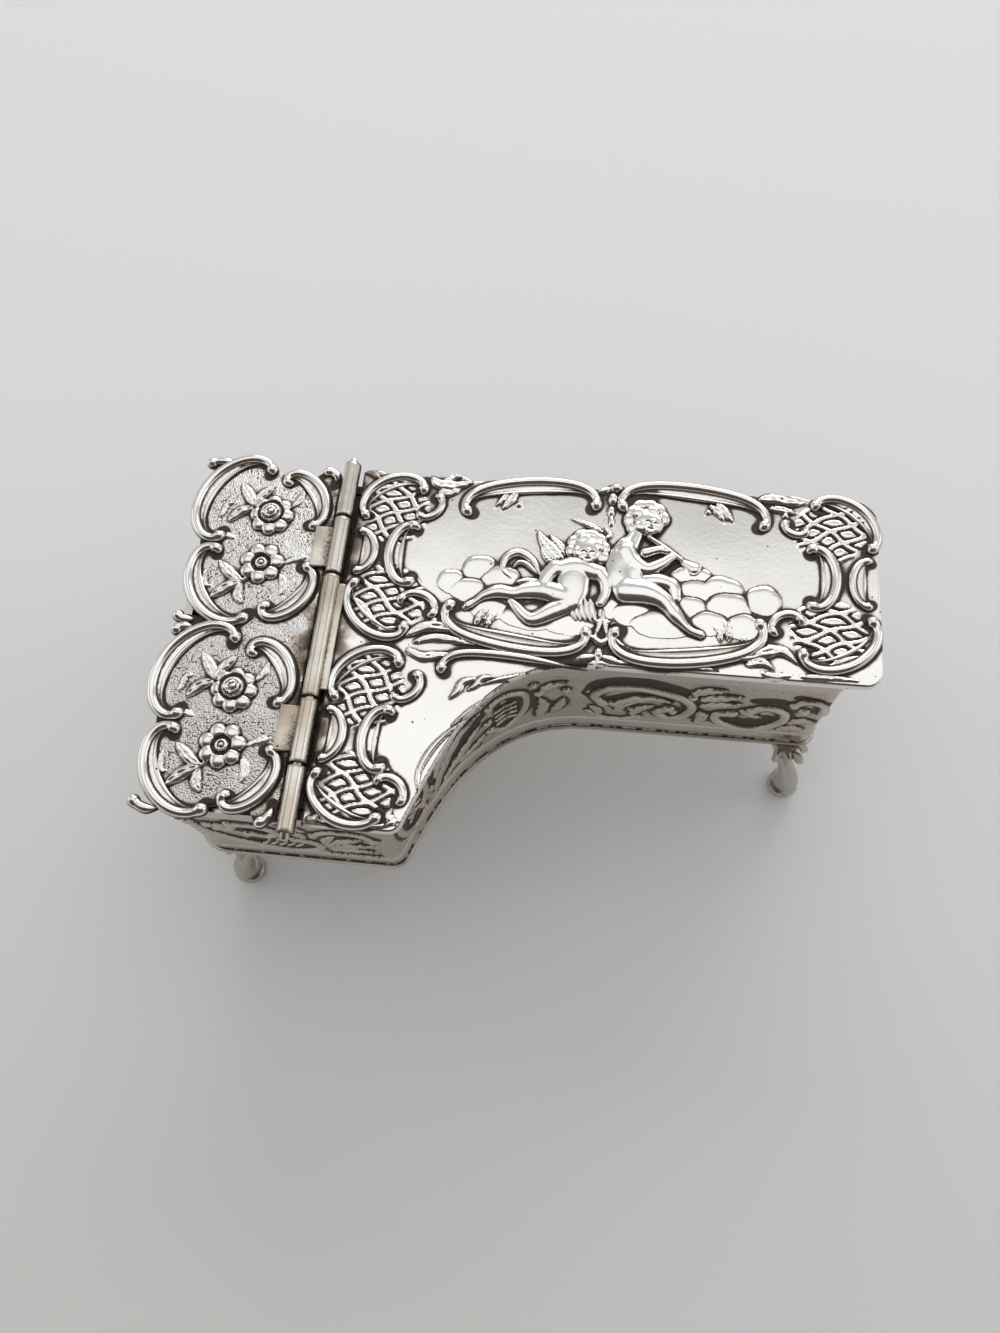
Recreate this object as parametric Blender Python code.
"""A silver trinket box shaped as a small grand piano.

A walled case on a flat base stands on four cabriole legs. Two stamped leaves close it, the
scalloped keyboard flap and the main lid, and both swing on one pin through five knuckles. The
hinge axis runs along Y. +X points to the tail, +Y to the straight back wall, +Z up.
"""
import math

import bmesh
import bpy
from mathutils import Matrix, Vector

for old in list(bpy.data.objects):
    bpy.data.objects.remove(old)

# Case plan, measured from the hinge axis along X and from the middle of the hinge along Y
keyboard_reach = 0.0165
tail_reach = 0.0572
case_half_width = 0.0199
tail_width = 0.0199
keyboard_corner_radius = 0.0032
tail_corner_radius = 0.0012
cheek_reach = 0.0089
cheek_corner_radius = 0.0016
# The concave bentside leaves the cheek at this angle and runs into the tail front along X. The
# two pulls are the lengths of its curve's handles.
cheek_turn_degrees = 70
bend_end_reach = 0.0300
bend_start_pull = 0.0091
bend_end_pull = 0.0128

# Case heights and sheets
leg_height = 0.0120
base_sheet = 0.0008
base_flange = 0.0004
wall_height = 0.0197
wall_sheet = 0.0007
wall_band_proud = 0.0003
top_band_height = 0.0028
foot_band_height = 0.0022
band_slope = 0.0004

# Leaves
leaf_sheet = 0.0009
leaf_edge_round = 0.0002
lid_front_overhang = 0.0010
lid_back_overhang = 0.0018
lid_tail_overhang = 0.0030
lid_cheek_reach = 0.0116
lid_corner_radius = 0.0015
lid_tail_corner_radius = 0.0024
lid_bend_end_reach = 0.0290
lid_bend_start_pull = 0.0100
lid_bend_end_pull = 0.0106
lid_wave = 0.0003
flap_reach = 0.0178
flap_unit_height = 0.0109

# Hinge
barrel_radius = 0.00095
bore_radius = 0.00055
pin_radius = 0.00047
barrel_half_length = 0.0222
pin_overrun = 0.0006
knuckle_length_shares = (1 / 6, 1 / 6, 1 / 3, 1 / 6, 1 / 6)
hinge_rise = 0.0005
hinge_clearance = 0.0003
wing_sheet = 0.00045
flap_wing_width = 0.0017
lid_wing_width = 0.0004
wing_end_inset = 0.0009
# A flap wing fits between the eyes of its unit's inner scrolls
flap_wing_half_share = 0.234
crossbar_width = 0.0026
crossbar_sheet = 0.0012
crossbar_drop = 0.0004
web_width = 0.0009

# Legs. The insets place a leg's top inside the case's corner, and the splays carry its foot out.
keyboard_leg_end_inset = 0.0049
keyboard_leg_side_inset = 0.0021
tail_leg_end_inset = 0.0027
tail_leg_side_inset = 0.0004
leg_end_splay = 0.0019
leg_side_splay = 0.0026
knee_radius = 0.00140
ankle_radius = 0.00095
foot_radius = 0.0022
foot_height = 0.0038
knee_leaf_width = 0.0052
knee_leaf_drop = 0.0026
knee_leaf_thickness = 0.0022

# Raised ornament
flap_scroll_radius = 0.00062
lid_scroll_radius = 0.00055
scroll_sink_share = 0.15
scroll_thinning_share = 0.15
knob_radius_share = 1.2
knob_lift_share = 0.95
least_eye_turn = 20
edge_curl_radius = 0.00048
flower_radius = 0.0026
flower_height = 0.0007
rose_bud_radius = 0.0013

seat_gap = 0.0003
cut_overrun = 0.0010

# Counts
arc_steps = 6
bend_steps = 14
wave_steps = 24
scroll_steps = 13
round_sides = 20
petal_count = 7

# Scrolls of one flap unit: start and end eye as shares of the flap's reach and the unit's
# half height, then the degrees turned by the start curl, the body and the end curl, and a
# share of the full thickness. Positive turns go left.
flap_scroll_shares = (
    (-0.55, 0.85, -0.78, 0.13, 100, 160, 120, 1.00),
    (-0.39, 0.79, -0.23, 0.26, -230, -140, -80, 0.92),
    (-0.79, -0.15, -0.50, -0.81, 150, 150, 50, 1.00),
    (-0.38, -0.73, -0.235, -0.25, 230, 140, 90, 0.92),
)
# Scrolls of the main lid, with X as a share of its length and Y of its half width
lid_scroll_shares = (
    (0.056, 0.73, 0.138, 0.895, -80, -150, -110, 1.00),
    (0.148, 0.78, 0.172, 0.865, 150, 160, 130, 0.85),
    (0.034, 0.61, 0.034, 0.41, -80, -140, -60, 0.95),
    (0.143, 0.66, 0.145, 0.38, 130, 120, 140, 1.05),
    (0.062, 0.33, 0.140, 0.115, 85, 130, 140, 1.00),
    (0.138, 0.22, 0.187, 0.18, -120, -160, -140, 0.85),
    (0.237, 0.235, 0.470, 0.16, 170, 40, 140, 1.00),
    (0.245, 0.79, 0.472, 0.86, -150, -42, -130, 1.00),
    (0.232, -0.15, 0.487, -0.07, -140, -20, 10, 0.85),
    (0.062, -0.32, 0.144, -0.13, -85, -140, -110, 1.00),
    (0.150, -0.27, 0.177, -0.175, 140, 160, 120, 0.85),
    (0.036, -0.41, 0.034, -0.63, -90, -130, -60, 0.95),
    (0.147, -0.40, 0.143, -0.65, 140, 120, 150, 1.05),
    (0.050, -0.72, 0.152, -0.885, 80, 130, 50, 1.00),
    (0.145, -0.75, 0.178, -0.83, -130, -160, -110, 0.85),
    (0.540, 0.87, 0.783, 0.81, -160, -32, -150, 1.00),
    (0.540, 0.16, 0.777, 0.26, 160, 50, 150, 1.00),
    (0.840, 0.84, 0.865, 0.82, 165, 170, 165, 0.80),
    (0.892, 0.93, 0.978, 0.72, -100, -140, -70, 1.00),
    (0.878, 0.67, 0.877, 0.40, -140, -120, -130, 1.05),
    (0.988, 0.64, 0.987, 0.41, 100, 110, 90, 0.90),
    (0.820, 0.21, 0.855, 0.265, -120, -170, -120, 0.80),
    (0.872, 0.127, 0.975, 0.31, 130, 130, 90, 1.00),
)

# Where the flap's edge comes back to the hinge at each side, and the small curls that show
# between its scrolls along the outer edge
hinge_shoulder_shares = ((-0.10, 1.91), (-0.15, 1.965), (-0.21, 1.93))
rose_share = (-0.46, 0.34)
flower_share = (-0.48, -0.22)
unit_bridge_shares = ((-0.94, 0.16), (-0.93, 0.05), (-0.93, -0.06), (-0.93, -0.15))
edge_curl_shares = (
    ((-0.76, 1.95), (-0.88, 2.01), (-0.975, 1.98), (-0.99, 1.90), (-0.96, 1.85)),
    ((-0.80, 0.09), (-0.90, 0.10), (-0.965, 0.14), (-0.975, 0.21), (-0.94, 0.24)),
    ((-0.80, -0.01), (-0.90, -0.03), (-0.955, -0.075), (-0.955, -0.14), (-0.92, -0.14)),
    ((-0.70, -1.90), (-0.84, -1.94), (-0.955, -1.87), (-1.0, -1.78), (-0.97, -1.71)),
)
edge_curl_swell_shares = (1.0, 0.95, 0.9, 0.9, 1.1)

# Worked out from the sizes above
base_top = leg_height + base_sheet
wall_foot = base_top + seat_gap
wall_top = wall_foot + wall_height
leaf_under = wall_top + seat_gap
leaf_top = leaf_under + leaf_sheet
axis_height = leaf_top + hinge_rise
hinge_offset = barrel_radius + hinge_clearance
tail_front = case_half_width - tail_width
lid_half_width = case_half_width + lid_back_overhang
lid_length = tail_reach + lid_tail_overhang
inner_half_width = case_half_width - wall_sheet

parts = bpy.data.collections.new("silver_trinket_box")
cutters = bpy.data.collections.new("cutters")
bpy.context.scene.collection.children.link(parts)
bpy.context.scene.collection.children.link(cutters)
cutters.hide_render = True


def silver(name, colour, roughness):
    """A metal finish."""
    material = bpy.data.materials.new(name)
    material.use_nodes = True
    shader = material.node_tree.nodes["Principled BSDF"]
    shader.inputs["Base Color"].default_value = (*colour, 1)
    shader.inputs["Roughness"].default_value = roughness
    shader.inputs["Metallic"].default_value = 1.0
    return material


stamped_silver = silver("stamped_silver", (0.80, 0.79, 0.76), 0.22)
wall_silver = silver("wall_silver", (0.70, 0.68, 0.65), 0.32)
hinge_silver = silver("hinge_silver", (0.68, 0.65, 0.58), 0.35)
cast_silver = silver("cast_silver", (0.62, 0.60, 0.56), 0.38)


def place(obj, collection, material=None):
    """Links an object and gives it its finish. A cutter is drawn as wire and left out of renders."""
    collection.objects.link(obj)
    if material:
        obj.data.materials.append(material)
    if collection is cutters:
        obj.hide_render = True
        obj.display_type = "WIRE"
    return obj


def meshed(obj):
    """A mesh of what the viewport shows of an object."""
    bpy.context.view_layer.update()
    graph = bpy.context.evaluated_depsgraph_get()
    return bpy.data.meshes.new_from_object(obj.evaluated_get(graph))


def sewn(mesh):
    """Welds the loose caps of a mesh made from a curve."""
    cage = bmesh.new()
    cage.from_mesh(mesh)
    bmesh.ops.remove_doubles(cage, verts=cage.verts, dist=leaf_edge_round / 100)
    bmesh.ops.recalc_face_normals(cage, faces=cage.faces)
    cage.to_mesh(mesh)
    cage.free()
    return mesh


def as_mesh(curve_object, name, collection, material=None):
    """Turns a curve object into a mesh object at the same place."""
    mesh = sewn(meshed(curve_object))
    seat = curve_object.matrix_world.copy()
    bpy.data.objects.remove(curve_object)
    solid = bpy.data.objects.new(name, mesh)
    solid.matrix_world = seat
    solid.data.materials.clear()
    return place(solid, collection, material)


def combine(target, other, operation):
    """Joins another object to the target, or cuts it away."""
    modifier = target.modifiers.new(operation.lower(), "BOOLEAN")
    modifier.operation = operation
    modifier.solver = "EXACT"
    modifier.object = other
    return target


def combine_all(target, collection):
    """Joins every object of a collection to the target."""
    modifier = target.modifiers.new("relief", "BOOLEAN")
    modifier.operation = "UNION"
    modifier.solver = "EXACT"
    modifier.use_self = True
    modifier.operand_type = "COLLECTION"
    modifier.collection = collection
    return target


def flat_plate(name, outline, low, sheet, collection, material=None, edge=leaf_edge_round):
    """A flat sheet with this outline, from height low up, its edges rounded."""
    flat = bpy.data.curves.new(name, "CURVE")
    flat.dimensions = "2D"
    flat.fill_mode = "BOTH"
    flat.extrude = sheet / 2 - edge
    flat.bevel_depth = edge
    flat.bevel_resolution = 0
    flat.offset = -edge
    spline = flat.splines.new("POLY")
    spline.points.add(len(outline) - 1)
    for point, (x, y) in zip(spline.points, outline):
        point.co = (x, y, 0, 1)
    spline.use_cyclic_u = True
    sheet_object = bpy.data.objects.new(name, flat)
    sheet_object.location.z = low + sheet / 2
    bpy.context.scene.collection.objects.link(sheet_object)
    return as_mesh(sheet_object, name, collection, material)


def tube(name, points, radii, resolution, collection, twist="Z_UP"):
    """A round bar along points, with its own radius at each."""
    line = bpy.data.curves.new(name, "CURVE")
    line.dimensions = "3D"
    line.bevel_depth = 1
    line.bevel_resolution = resolution
    line.use_fill_caps = True
    line.twist_mode = twist
    spline = line.splines.new("POLY")
    spline.points.add(len(points) - 1)
    for point, place_of, radius in zip(spline.points, points, radii):
        point.co = (*place_of, 1)
        point.radius = radius
    bar = bpy.data.objects.new(name, line)
    bpy.context.scene.collection.objects.link(bar)
    return as_mesh(bar, name, collection)


def arc(centre, radius, start, end, steps=arc_steps):
    """Points round a centre from one angle to another, in degrees."""
    angles = [math.radians(start + (end - start) * i / steps) for i in range(steps + 1)]
    return [(centre[0] + radius * math.cos(a), centre[1] + radius * math.sin(a)) for a in angles]


def bend_curve(start, end, start_pull, end_pull, inset):
    """The concave bentside between two points, moved into the case by inset."""
    turn = math.radians(cheek_turn_degrees)
    start, end = Vector(start), Vector(end)
    first = start + Vector((math.cos(turn), math.sin(turn))) * start_pull
    second = end - Vector((end_pull, 0))
    points = []
    for i in range(bend_steps + 1):
        t = i / bend_steps
        u = 1 - t
        place_of = u ** 3 * start + 3 * u * u * t * first + 3 * u * t * t * second + t ** 3 * end
        along = u * u * (first - start) + 2 * u * t * (second - first) + t * t * (end - second)
        along.normalize()
        points.append(tuple(place_of + Vector((-along.y, along.x)) * inset))
    return points


def cheek_and_bend(cheek, low, radius, bend_end, front, pulls, inset):
    """The front from the cheek's rounded corner along the bentside to the tail front."""
    middle = (cheek - radius * math.sin(math.radians(cheek_turn_degrees)), low + radius)
    corner = arc(middle, radius - inset, 270, 270 + cheek_turn_degrees)
    start = (cheek, low + radius * (1 - math.cos(math.radians(cheek_turn_degrees))))
    return corner + bend_curve(start, (bend_end, front), *pulls, inset)[1:]


def case_front(inset):
    """The case's front line, from its keyboard end round to its tail."""
    corner = keyboard_corner_radius - inset
    left = -keyboard_reach + inset + corner
    path = arc((left, inset + corner - case_half_width), corner, 180, 270)
    path += cheek_and_bend(cheek_reach, -case_half_width, cheek_corner_radius, bend_end_reach,
                           tail_front, (bend_start_pull, bend_end_pull), inset)
    corner = tail_corner_radius - inset
    return path + arc((tail_reach - inset - corner, tail_front + inset + corner), corner, 270, 360)


def case_back(inset):
    """The case's back line, from its tail to its keyboard end."""
    corner = tail_corner_radius - inset
    path = arc((tail_reach - inset - corner, case_half_width - inset - corner), corner, 0, 90)
    corner = keyboard_corner_radius - inset
    left = -keyboard_reach + inset + corner
    return path + arc((left, case_half_width - inset - corner), corner, 90, 180)


def wall_profile():
    """The wall's section: a proud band along the top, a sunk field and a proud band at the foot."""
    inner = -wall_sheet / 2
    outer = wall_sheet / 2
    proud = outer + wall_band_proud
    half = wall_height / 2
    steps = (
        (inner, -half), (proud, -half), (proud, foot_band_height - half),
        (outer, foot_band_height + band_slope - half), (outer, half - top_band_height - band_slope),
        (proud, half - top_band_height), (proud, half), (inner, half),
    )
    profile = bpy.data.curves.new("wall_profile", "CURVE")
    profile.dimensions = "2D"
    spline = profile.splines.new("POLY")
    spline.points.add(len(steps) - 1)
    for point, (across, up) in zip(spline.points, steps):
        point.co = (across, up, 0, 1)
    spline.use_cyclic_u = True
    return place(bpy.data.objects.new("wall_profile", profile), cutters)


def wall(name, path, profile):
    """A wall: the section drawn along a path, as a strip bent to shape."""
    line = bpy.data.curves.new(name, "CURVE")
    line.dimensions = "2D"
    line.bevel_mode = "OBJECT"
    line.bevel_object = profile
    line.use_fill_caps = True
    line.fill_mode = "NONE"
    spline = line.splines.new("POLY")
    spline.points.add(len(path) - 1)
    for point, (x, y) in zip(spline.points, path):
        point.co = (x, y, 0, 1)
    strip = bpy.data.objects.new(name, line)
    strip.location.z = wall_foot + wall_height / 2
    bpy.context.scene.collection.objects.link(strip)
    return as_mesh(strip, name, parts, wall_silver)


def case_walls():
    """Two long strips that turn the corners, and a short flat wall at each end."""
    profile = wall_profile()
    middle = wall_sheet / 2
    wall("front_bentside_wall", case_front(middle), profile)
    wall("back_wall", case_back(middle), profile)
    left = -keyboard_reach + middle
    right = tail_reach - middle
    high = case_half_width - keyboard_corner_radius - seat_gap
    wall("keyboard_end_wall", [(left, high), (left, -high)], profile)
    low = tail_front + tail_corner_radius + seat_gap
    high = case_half_width - tail_corner_radius - seat_gap
    wall("tail_end_wall", [(right, low), (right, high)], profile)


def base_plate():
    """The flat base, a little wider than the walls all round."""
    inset = -wall_band_proud - base_flange
    outline = case_front(inset) + case_back(inset)
    return flat_plate("base_plate", outline, leg_height, base_sheet, parts, wall_silver)


def cylinder(name, radius, length, centre, collection, material=None):
    """A cylinder along Y."""
    solid = bmesh.new()
    bmesh.ops.create_cone(solid, cap_ends=True, segments=round_sides, radius1=radius,
                          radius2=radius, depth=length,
                          matrix=Matrix.Translation(centre) @ Matrix.Rotation(math.pi / 2, 4, "X"))
    mesh = bpy.data.meshes.new(name)
    solid.to_mesh(mesh)
    solid.free()
    return place(bpy.data.objects.new(name, mesh), collection, material)


def block(name, low, high, collection, material=None):
    """A box from its low corner to its high corner."""
    low, high = Vector(low), Vector(high)
    solid = bmesh.new()
    bmesh.ops.create_cube(solid, size=1.0)
    bmesh.ops.scale(solid, vec=high - low, verts=solid.verts)
    bmesh.ops.translate(solid, vec=(low + high) / 2, verts=solid.verts)
    mesh = bpy.data.meshes.new(name)
    solid.to_mesh(mesh)
    solid.free()
    return place(bpy.data.objects.new(name, mesh), collection, material)


def knuckle_spans():
    """Low and high Y of the five knuckles, from the back to the front, with their running gaps."""
    spans = []
    high = barrel_half_length
    for share in knuckle_length_shares:
        low = high - share * 2 * barrel_half_length
        spans.append((low + seat_gap / 2, high - seat_gap / 2))
        high = low
    return spans


def knuckle(name, span, wing_width, pivot):
    """One knuckle of the barrel. A leaf's knuckle has a flat wing soldered on that leaf, and a
    knuckle of the case has a web down to the crossbar."""
    low, high = span
    centre = Vector((0, (low + high) / 2, axis_height))
    solid = cylinder(name, barrel_radius, high - low, centre, parts, hinge_silver)
    if wing_width:
        near, far = sorted((0, wing_width + math.copysign(hinge_offset, wing_width)))
        under = leaf_top + seat_gap
        start, end = low + wing_end_inset, high - wing_end_inset
        if wing_width < 0:
            middle = math.copysign(flap_unit_height, centre.y)
            start = max(start, middle - flap_wing_half_share * flap_unit_height)
            end = min(end, middle + flap_wing_half_share * flap_unit_height)
        arm = block(name + "_wing", (near, start, under), (far, end, under + wing_sheet), cutters)
    else:
        foot = leaf_under - crossbar_drop + seat_gap
        arm = block(name + "_web", (-web_width / 2, max(low, -inner_half_width + seat_gap), foot),
                    (web_width / 2, min(high, inner_half_width - seat_gap), axis_height), cutters)
    combine(solid, arm, "UNION")
    bore = cylinder(name + "_bore", bore_radius, high - low + cut_overrun, centre, cutters)
    combine(solid, bore, "DIFFERENCE")
    solid.parent = pivot
    return solid


def hinge_parts(flap_pivot, lid_pivot):
    """The barrel: outer knuckles on the case, the next two on the flap, the long one on the lid."""
    back, flap_back, lid_middle, flap_front, front = knuckle_spans()
    knuckle("case_knuckle_back", back, 0, None)
    knuckle("case_knuckle_front", front, 0, None)
    knuckle("flap_hinge_leaf_back", flap_back, -flap_wing_width, flap_pivot)
    knuckle("flap_hinge_leaf_front", flap_front, -flap_wing_width, flap_pivot)
    knuckle("main_lid_hinge_leaf", lid_middle, lid_wing_width, lid_pivot)
    cylinder("hinge_pin", pin_radius, 2 * (barrel_half_length + pin_overrun),
             Vector((0, 0, axis_height)), parts, hinge_silver)
    top = leaf_under - crossbar_drop
    reach = inner_half_width - seat_gap
    return block("hinge_crossbar", (-crossbar_width / 2, -reach, top - crossbar_sheet),
                 (crossbar_width / 2, reach, top), parts, hinge_silver)


def scroll_line(start, end, turns, steps=scroll_steps):
    """A C or S scroll between two eyes. Its bend grows with the fourth power of the way from its
    middle, so both ends curl up. turns holds the degrees of start curl, body and end curl."""
    start_curl, body, end_curl = (math.radians(turn) for turn in turns)
    fine = 16
    heading = 0.0
    here = Vector((0.0, 0.0))
    line = [here.copy()]
    for i in range(steps):
        low = math.sin(math.pi * (i / steps - 0.5))
        high = math.sin(math.pi * ((i + 1) / steps - 0.5))
        for j in range(fine):
            s = low + (high - low) * (j + 0.5) / fine
            curl = start_curl if s < 0 else end_curl
            stride = (high - low) / fine
            heading += (body / 2 + 5 * curl * s ** 4) * stride
            here += Vector((math.cos(heading), math.sin(heading))) * stride
        line.append(here.copy())
    want = Vector(end) - Vector(start)
    turn = math.atan2(want.y, want.x) - math.atan2(here.y, here.x)
    size = want.length / here.length
    return [Vector(start) + Matrix.Rotation(turn, 2) @ point * size for point in line]


def helper(obj, pivot):
    """A raised form that is joined to a leaf, so it is left out of renders by itself."""
    obj.hide_render = True
    obj.display_type = "WIRE"
    obj.parent = pivot
    return obj


def knob(name, centre, radius, lift, pivot, collection):
    """A domed boss: a sphere flattened or stretched upwards by lift."""
    solid = bmesh.new()
    bmesh.ops.create_uvsphere(solid, u_segments=8, v_segments=6, radius=radius,
                              matrix=Matrix.Translation(centre) @ Matrix.Diagonal((1, 1, lift, 1)))
    mesh = bpy.data.meshes.new(name)
    solid.to_mesh(mesh)
    solid.free()
    return helper(place(bpy.data.objects.new(name, mesh), collection), pivot)


def scroll_bar(name, row, line, radius, pivot, collection):
    """A half-round bar along a scroll line with a knob at each eye. An end that hardly curls runs
    out thin and has no knob."""
    first, last = abs(row[4]) > least_eye_turn, abs(row[6]) > least_eye_turn
    count = len(line) - 1
    radius *= row[7]
    level = leaf_top - radius * scroll_sink_share
    radii = []
    for i in range(count + 1):
        s = 2 * i / count - 1
        open_end = (s < 0 and not first) or (s > 0 and not last)
        radii.append(radius * (1 - (0.75 if open_end else scroll_thinning_share) * s * s))
    points = [(point.x, point.y, level) for point in line]
    keep = slice(1 if first else 0, count if last else count + 1)
    bar = helper(tube(name, points[keep], radii[keep], 1, collection), pivot)
    if first:
        knob(name + "_eye", points[0], radius * knob_radius_share, knob_lift_share, pivot, collection)
    if last:
        knob(name + "_end_eye", points[-1], radius * knob_radius_share, knob_lift_share, pivot,
             collection)
    return bar


def flap_lines(middle):
    """The four scroll lines of the flap unit whose middle is at this Y."""
    lines = []
    for x0, y0, x1, y1, first, body, last, _thick in flap_scroll_shares:
        start = (x0 * flap_reach, middle + y0 * flap_unit_height)
        end = (x1 * flap_reach, middle + y1 * flap_unit_height)
        lines.append(scroll_line(start, end, (first, body, last)))
    return lines


def stretch(line, low_share, high_share):
    """The points of a line between two shares of its steps."""
    count = len(line) - 1
    return [tuple(point) for i, point in enumerate(line)
            if low_share * count <= i <= high_share * count]


def petal_flower(name, centre, height, pivot, collection, bud):
    """A flower: a ring of domed petals round a boss."""
    solid = bmesh.new()
    petal = flower_radius * math.sin(math.pi / petal_count) * 1.12
    ring = flower_radius - petal
    flatten = Matrix.Diagonal((1, 1, flower_height / petal, 1))
    for i in range(petal_count):
        angle = 2 * math.pi * i / petal_count
        seat = Vector((centre[0] + ring * math.cos(angle), centre[1] + ring * math.sin(angle), height))
        bmesh.ops.create_uvsphere(solid, u_segments=8, v_segments=5, radius=petal,
                                  matrix=Matrix.Translation(seat) @ flatten)
    boss = rose_bud_radius if bud else flower_radius - petal
    lift = flower_height * (1.4 if bud else 1.0) / boss
    seat = Vector((centre[0], centre[1], height))
    bmesh.ops.create_uvsphere(solid, u_segments=10, v_segments=5, radius=boss,
                              matrix=Matrix.Translation(seat) @ Matrix.Diagonal((1, 1, lift, 1)))
    mesh = bpy.data.meshes.new(name)
    solid.to_mesh(mesh)
    solid.free()
    flower = place(bpy.data.objects.new(name, mesh), collection)
    return helper(flower, pivot)


def relief_collection(name):
    """A collection of raised forms that are joined to one leaf."""
    relief = bpy.data.collections.new(name)
    cutters.children.link(relief)
    return relief


def keyboard_flap(pivot):
    """The stamped flap: a scalloped sheet edged by its own scrolls, with a rose and an open
    flower in each of its two units."""
    back_lines = flap_lines(flap_unit_height)
    front_lines = flap_lines(-flap_unit_height)
    shoulder = [(x * flap_reach, y * flap_unit_height) for x, y in hinge_shoulder_shares]
    shoulder.insert(0, (-hinge_offset, shoulder[0][1]))
    outline = list(shoulder)
    outline += stretch(back_lines[1], 0.22, 0.42)[::-1]
    outline += stretch(back_lines[0], 0.20, 0.74)
    outline += stretch(back_lines[2], 0.28, 0.62)
    outline += [(x * flap_reach, y * flap_unit_height) for x, y in unit_bridge_shares]
    outline += stretch(front_lines[0], 0.45, 0.74)
    outline += stretch(front_lines[2], 0.28, 0.95)
    outline += stretch(front_lines[3], 0.22, 0.42)
    outline += [(x, -y) for x, y in shoulder[::-1]]
    flap = flat_plate("keyboard_flap", outline, leaf_under, leaf_sheet, parts, stamped_silver)
    flap.parent = pivot
    relief = relief_collection("keyboard_flap_relief")
    for unit, lines in (("back", back_lines), ("front", front_lines)):
        for i, (line, row) in enumerate(zip(lines, flap_scroll_shares)):
            scroll_bar(f"flap_scroll_{unit}_{i + 1}", row, line, flap_scroll_radius, pivot, relief)
        middle = flap_unit_height if unit == "back" else -flap_unit_height
        rose = (flap_reach * rose_share[0], middle + flap_unit_height * rose_share[1])
        open_flower = (flap_reach * flower_share[0], middle + flap_unit_height * flower_share[1])
        petal_flower(f"flap_rose_{unit}", rose, leaf_top, pivot, relief, True)
        petal_flower(f"flap_flower_{unit}", open_flower, leaf_top, pivot, relief, False)
    for i, curl in enumerate(edge_curl_shares):
        points = [(x * flap_reach, y * flap_unit_height, leaf_top - edge_curl_radius)
                  for x, y in curl]
        radii = [edge_curl_radius * swell for swell in edge_curl_swell_shares]
        helper(tube(f"flap_edge_curl_{i + 1}", points, radii, 1, relief), pivot)
    return flap, relief


def main_lid(pivot):
    """The main lid: a sheet with the piano's own outline, its frame of scrolls raised."""
    low = -case_half_width - lid_front_overhang
    front = tail_front - lid_front_overhang
    outline = [(hinge_offset, low)]
    outline += cheek_and_bend(lid_cheek_reach, low, lid_corner_radius, lid_bend_end_reach, front,
                              (lid_bend_start_pull, lid_bend_end_pull), 0)
    corner = lid_tail_corner_radius
    outline += arc((lid_length - corner, front + corner), corner, 270, 360)
    outline += arc((lid_length - corner, lid_half_width - corner), corner, 0, 90)
    for i in range(1, wave_steps):
        share = 1 - i / wave_steps
        x = hinge_offset + (lid_length - corner - hinge_offset) * share
        outline.append((x, lid_half_width + lid_wave * (math.cos(6 * math.pi * share) - 1) / 2))
    outline.append((hinge_offset, lid_half_width))
    lid = flat_plate("main_lid", outline, leaf_under, leaf_sheet, parts, stamped_silver)
    lid.parent = pivot
    relief = relief_collection("main_lid_relief")
    for i, row in enumerate(lid_scroll_shares):
        x0, y0, x1, y1, first, body, last, _thick = row
        line = scroll_line((x0 * lid_length, y0 * lid_half_width),
                           (x1 * lid_length, y1 * lid_half_width), (first, body, last))
        scroll_bar(f"lid_scroll_{i + 1}", row, line, lid_scroll_radius, pivot, relief)
    return lid, relief


def smooth_step(share):
    """0 to 1 with a soft start and end."""
    return share * share * (3 - 2 * share)


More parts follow.
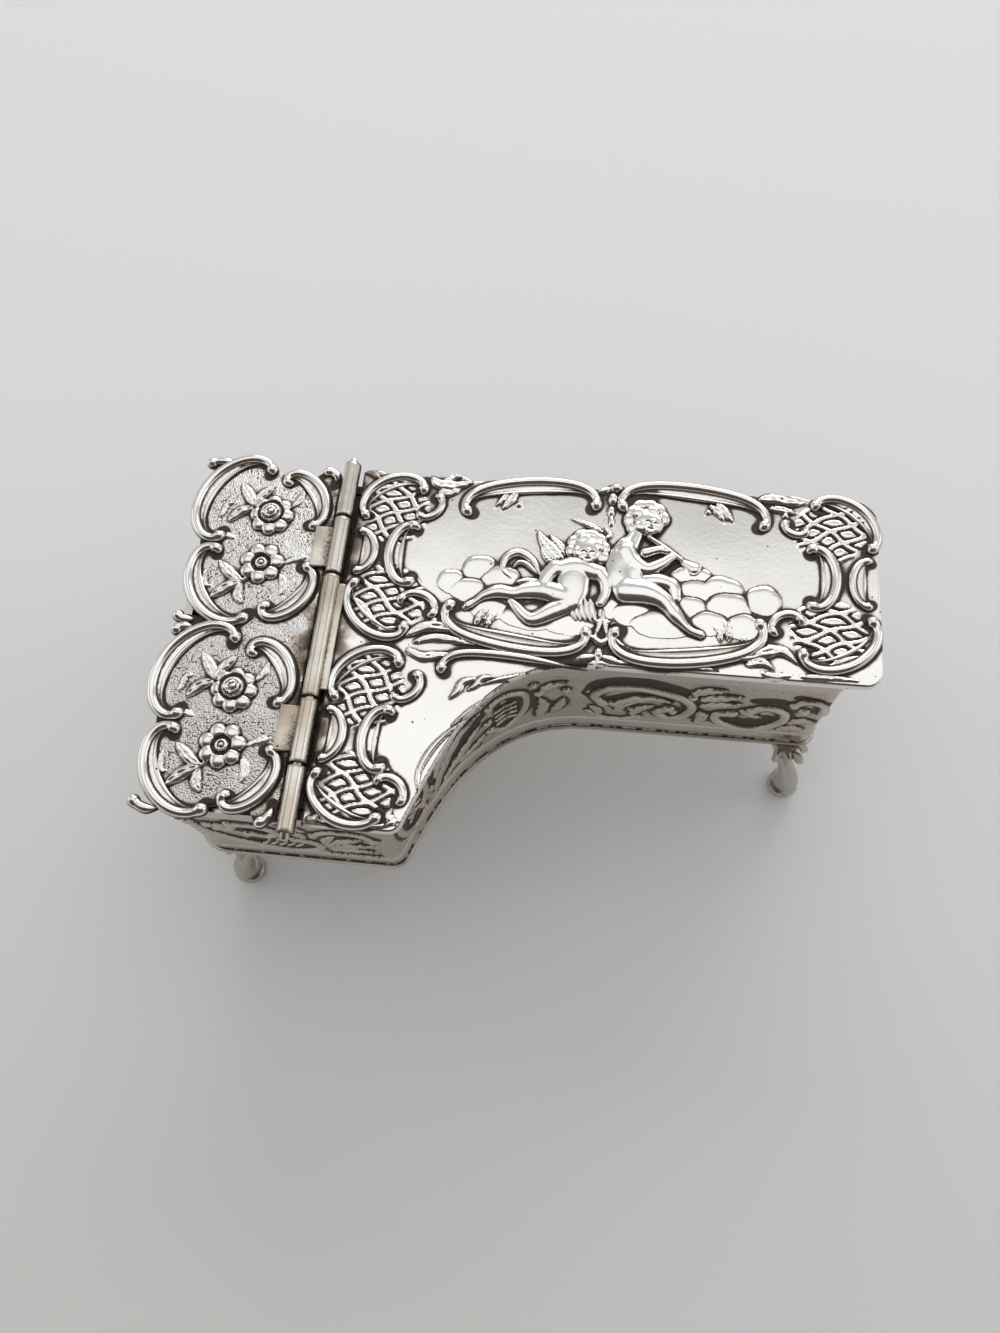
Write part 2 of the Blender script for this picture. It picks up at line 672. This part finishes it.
def leg_mesh():
    """A cabriole leg from the base's underside to the ground, splayed towards +X and +Y: a knee
    with a leaf that hangs from the base's edge, a thin ankle and a broad pad foot."""
    top = leg_height - seat_gap
    rings = 9
    points, radii = [], []
    for i in range(rings + 1):
        down = i / rings
        swing = smooth_step(down) - 0.35 * math.sin(2 * math.pi * down) / 2
        points.append((leg_end_splay * swing, leg_side_splay * swing,
                       top + cut_overrun / 2 - (top + cut_overrun / 2 - foot_height / 2) * down))
        waist = math.sin(math.pi * min(1.0, down * 1.15)) ** 2
        radii.append(knee_radius + (ankle_radius - knee_radius) * waist)
    leg = tube("leg_pattern", points, radii, 2, cutters, "MINIMUM")
    solid = bmesh.new()
    bmesh.ops.create_uvsphere(
        solid, u_segments=14, v_segments=8, radius=foot_radius,
        matrix=Matrix.Translation((leg_end_splay, leg_side_splay, foot_height * 0.44))
        @ Matrix.Diagonal((1, 1, foot_height / (2 * foot_radius), 1)))
    bmesh.ops.create_uvsphere(
        solid, u_segments=14, v_segments=8, radius=knee_leaf_width / 2,
        matrix=Matrix.Translation((knee_leaf_thickness / 3, knee_leaf_thickness / 3,
                                   top + knee_leaf_drop / 9))
        @ Matrix.Rotation(math.radians(-45), 4, "Z")
        @ Matrix.Diagonal((1, knee_leaf_thickness / knee_leaf_width,
                           2 * knee_leaf_drop / knee_leaf_width, 1)))
    mesh = bpy.data.meshes.new("leg_forms")
    solid.to_mesh(mesh)
    solid.free()
    forms = place(bpy.data.objects.new("leg_forms", mesh), cutters)
    joined = combine(leg, forms, "UNION")
    joined.modifiers[-1].use_self = True
    reach = leg_end_splay + leg_side_splay + 2 * knee_leaf_width
    combine(leg, block("leg_top_trim", (-reach, -reach, top), (reach, reach, 2 * leg_height), cutters),
            "DIFFERENCE")
    combine(leg, block("leg_foot_trim", (-reach, -reach, -leg_height), (reach, reach, 0), cutters),
            "DIFFERENCE")
    pattern = meshed(leg)
    pattern.name = "cabriole_leg"
    pattern.materials.clear()
    pattern.materials.append(cast_silver)
    return pattern


def legs():
    """Four legs from one pattern, each mirrored so that it splays outwards at its corner."""
    pattern = leg_mesh()
    ends = (keyboard_leg_end_inset - keyboard_reach, tail_reach - tail_leg_end_inset)
    side = case_half_width - keyboard_leg_side_inset
    corners = (
        ("leg_keyboard_front", -1, -1, ends[0], -side),
        ("leg_keyboard_back", -1, 1, ends[0], side),
        ("leg_tail_front", 1, -1, ends[1], tail_front + tail_leg_side_inset),
        ("leg_tail_back", 1, 1, ends[1], side),
    )
    for name, along, across, x, y in corners:
        leg = place(bpy.data.objects.new(name, pattern), parts)
        leg.location = (x, y, 0)
        leg.scale = (along, across, 1)


def pivot_on_axis(name):
    """An empty on the hinge axis that carries one leaf."""
    empty = bpy.data.objects.new(name, None)
    empty.location.z = axis_height
    parts.objects.link(empty)
    return empty


def centre_on_floor(solids):
    """Moves the whole box along X so that its footprint's middle is at the origin."""
    bpy.context.view_layer.update()
    along = [(obj.matrix_world @ vertex.co).x for obj in solids for vertex in obj.data.vertices]
    frame = bpy.data.objects.new("box_frame", None)
    parts.objects.link(frame)
    for obj in list(parts.objects) + list(cutters.all_objects):
        if obj.parent is None and obj is not frame:
            obj.parent = frame
    frame.location.x = -(min(along) + max(along)) / 2
    print("hinge axis at", round(frame.location.x, 6), round(axis_height, 6))


legs()
flap_pivot = pivot_on_axis("keyboard_flap_pivot")
lid_pivot = pivot_on_axis("main_lid_pivot")
case_walls()
base_plate()
flap, flap_relief = keyboard_flap(flap_pivot)
lid, lid_relief = main_lid(lid_pivot)
hinge_parts(flap_pivot, lid_pivot)
bpy.context.view_layer.update()
for child in list(parts.objects) + list(cutters.all_objects):
    if child.parent in (flap_pivot, lid_pivot):
        child.matrix_parent_inverse = child.parent.matrix_world.inverted()
centre_on_floor([flap, lid, *flap_relief.objects, *lid_relief.objects])
combine_all(flap, flap_relief)
combine_all(lid, lid_relief)
